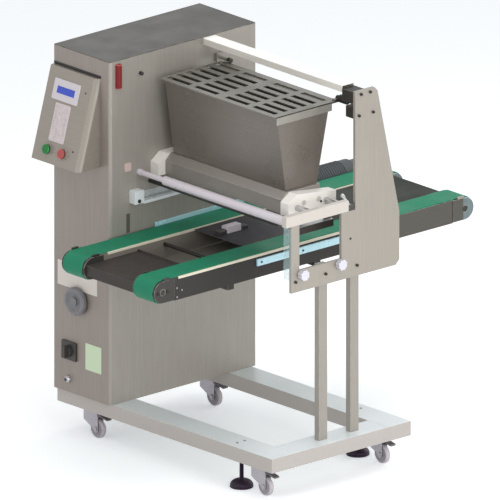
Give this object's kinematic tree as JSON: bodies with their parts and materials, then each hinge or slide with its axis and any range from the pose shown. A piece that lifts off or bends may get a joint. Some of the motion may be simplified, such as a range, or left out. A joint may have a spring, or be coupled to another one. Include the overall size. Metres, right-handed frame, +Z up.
{
  "type": "cookie depositor",
  "caption": "Free-standing bakery depositor: drive cabinet with controls, hopper and fluted feed rolls over a twin-belt tray conveyor, on a castor frame.",
  "frame": {"origin": "middle of the machine's footprint, on the floor under its wheels and levelling feet", "axes": "+X from the drive cabinet to the outer plate, +Y along the conveyor away from the operator, +Z up"},
  "size_m": [1.154, 1.5528, 1.468],
  "materials": {
    "cabinet_steel": "satin",
    "top_steel": "satin",
    "frame_paint": "satin",
    "plate_steel": "satin",
    "dark_paint": "satin",
    "hopper_steel": "satin",
    "bright_steel": "bright",
    "aluminium": "milled",
    "belt_green": "smooth",
    "white_plastic": "matte",
    "pale_plastic": "satin",
    "black_plastic": "matte",
    "grey_plastic": "matte",
    "foot_plastic": "matte",
    "wheel_rubber": "matte",
    "green_cap": "glossy",
    "red_cap": "glossy",
    "lamp_red": "glossy",
    "clear_sheet": "clear",
    "motor_paint": "satin"
  },
  "bodies": {
    "frame": {"base_rails": "frame_paint", "base_crosses": "frame_paint", "outer_posts": "frame_paint", "castor_plates": "bright_steel", "cabinet_wrap": "cabinet_steel", "cabinet_covers": "cabinet_steel", "cabinet_top": "top_steel", "cabinet_shelves": "cabinet_steel", "roll_gearmotor": "motor_paint", "electrics_panel": "pale_plastic", "control_box": "cabinet_steel", "display_panel": "pale_plastic", "keypad": "pale_plastic", "switch_plate": "black_plastic", "cable_gland": "bright_steel", "signal_lamp": "lamp_red", "hopper": "hopper_steel", "top_brackets": "dark_paint", "tie_bar": "frame_paint", "roll_housing": "hopper_steel", "end_blocks": "white_plastic", "nozzle_plate": "dark_paint", "nozzles": "bright_steel", "nozzle_rails": "bright_steel", "carrier_arm": "white_plastic", "block_standoffs": "bright_steel", "outer_plate": "plate_steel", "plate_bolts": "dark_paint", "clear_guard": "clear_sheet", "conveyor_panels": "dark_paint", "end_plates": "aluminium", "belts": "belt_green", "belt_beds": "bright_steel", "cross_members": "dark_paint", "centre_table": "dark_paint", "conveyor_motor": "motor_paint", "tray_sensor": "pale_plastic", "guide_bars": "bright_steel"},
    "lid": {"hopper_lid": "hopper_steel"},
    "green_cap": {"green_button": "green_cap"},
    "red_cap": {"red_button": "red_cap"},
    "handwheel": {"handwheel": "grey_plastic"},
    "switch_grip": {"switch_knob": "black_plastic"},
    "front_knob": {"front_clamp_knob": "pale_plastic"},
    "rear_knob": {"rear_clamp_knob": "pale_plastic"},
    "belt_drive": {"drive_shaft": "bright_steel"},
    "belt_idler": {"idler_shaft": "bright_steel"},
    "front_roll": {"front_feed_roll": "aluminium"},
    "rear_roll": {"rear_feed_roll": "aluminium"},
    "roller": {"front_roller": "white_plastic"},
    "front_pad": {"front_foot": "foot_plastic"},
    "rear_pad": {"rear_foot": "foot_plastic"},
    "fork_1": {"castor_fork_1": "bright_steel"},
    "wheel_1": {"castor_wheel_1": "wheel_rubber"},
    "fork_2": {"castor_fork_2": "bright_steel"},
    "wheel_2": {"castor_wheel_2": "wheel_rubber"},
    "fork_3": {"castor_fork_3": "bright_steel"},
    "wheel_3": {"castor_wheel_3": "wheel_rubber"},
    "fork_4": {"castor_fork_4": "bright_steel"},
    "wheel_4": {"castor_wheel_4": "wheel_rubber"}
  },
  "joints": [
    {"name": "lid_hinge", "type": "hinge", "parent": "frame", "child": "lid", "pos_m": [0.079, -0.0155, 1.378], "axis": [-1, 0, 0], "range_deg": [0, 38]},
    {"name": "green_press", "type": "slide", "parent": "frame", "child": "green_cap", "axis": [0, 0.9618, -0.2736], "range_m": [0, 0.006], "stiffness_N_per_m": 300},
    {"name": "red_press", "type": "slide", "parent": "frame", "child": "red_cap", "axis": [0, 0.9618, -0.2736], "range_m": [0, 0.006], "stiffness_N_per_m": 300},
    {"name": "handwheel_turn", "type": "hinge", "parent": "frame", "child": "handwheel", "pos_m": [-0.445, -0.5395, 0.528], "axis": [0, 1, 0], "continuous": true},
    {"name": "switch_turn", "type": "hinge", "parent": "frame", "child": "switch_grip", "pos_m": [-0.49, -0.5395, 0.328], "axis": [0, 1, 0], "range_deg": [0, 90]},
    {"name": "front_knob_turn", "type": "hinge", "parent": "frame", "child": "front_knob", "pos_m": [0.543, -0.3515, 0.824], "axis": [1, 0, 0], "range_deg": [0, 180]},
    {"name": "rear_knob_turn", "type": "hinge", "parent": "frame", "child": "rear_knob", "pos_m": [0.543, -0.1685, 0.824], "axis": [1, 0, 0], "range_deg": [0, 180]},
    {"name": "drive_spin", "type": "hinge", "parent": "frame", "child": "belt_drive", "pos_m": [-0.027, 0.7322, 0.7597], "axis": [1, 0, 0], "continuous": true},
    {"name": "idler_spin", "type": "hinge", "parent": "frame", "child": "belt_idler", "pos_m": [-0.027, -0.7322, 0.7597], "axis": [1, 0, 0], "continuous": true},
    {"name": "front_roll_spin", "type": "hinge", "parent": "frame", "child": "front_roll", "pos_m": [0.079, -0.2405, 1.044], "axis": [1, 0, 0], "continuous": true},
    {"name": "rear_roll_spin", "type": "hinge", "parent": "frame", "child": "rear_roll", "pos_m": [0.079, -0.1685, 1.044], "axis": [1, 0, 0], "continuous": true},
    {"name": "roller_spin", "type": "hinge", "parent": "frame", "child": "roller", "pos_m": [0.123, -0.3985, 1.025], "axis": [1, 0, 0], "continuous": true},
    {"name": "castor_swivel_1", "type": "hinge", "parent": "frame", "child": "fork_1", "pos_m": [-0.437, -0.4685, 0.1], "axis": [0, 0, 1], "continuous": true},
    {"name": "castor_roll_1", "type": "hinge", "parent": "fork_1", "child": "wheel_1", "pos_m": [-0.417, -0.4685, 0.035], "axis": [0, 1, 0], "continuous": true},
    {"name": "castor_swivel_2", "type": "hinge", "parent": "frame", "child": "fork_2", "pos_m": [-0.437, 0.0945, 0.1], "axis": [0, 0, 1], "continuous": true},
    {"name": "castor_roll_2", "type": "hinge", "parent": "fork_2", "child": "wheel_2", "pos_m": [-0.417, 0.0945, 0.035], "axis": [0, 1, 0], "continuous": true},
    {"name": "castor_swivel_3", "type": "hinge", "parent": "frame", "child": "fork_3", "pos_m": [0.465, -0.4685, 0.1], "axis": [0, 0, 1], "continuous": true},
    {"name": "castor_roll_3", "type": "hinge", "parent": "fork_3", "child": "wheel_3", "pos_m": [0.485, -0.4685, 0.035], "axis": [0, 1, 0], "continuous": true},
    {"name": "castor_swivel_4", "type": "hinge", "parent": "frame", "child": "fork_4", "pos_m": [0.465, 0.0945, 0.1], "axis": [0, 0, 1], "continuous": true},
    {"name": "castor_roll_4", "type": "hinge", "parent": "fork_4", "child": "wheel_4", "pos_m": [0.485, 0.0945, 0.035], "axis": [0, 1, 0], "continuous": true},
    {"name": "front_foot_lift", "type": "slide", "parent": "frame", "child": "front_pad", "axis": [0, 0, 1], "range_m": [0, 0.02]},
    {"name": "rear_foot_lift", "type": "slide", "parent": "frame", "child": "rear_pad", "axis": [0, 0, 1], "range_m": [0, 0.02]}
  ],
  "couplings": [
    {"joint": "idler_spin", "follows": "drive_spin", "ratio": 1},
    {"joint": "rear_roll_spin", "follows": "front_roll_spin", "ratio": -1}
  ]
}
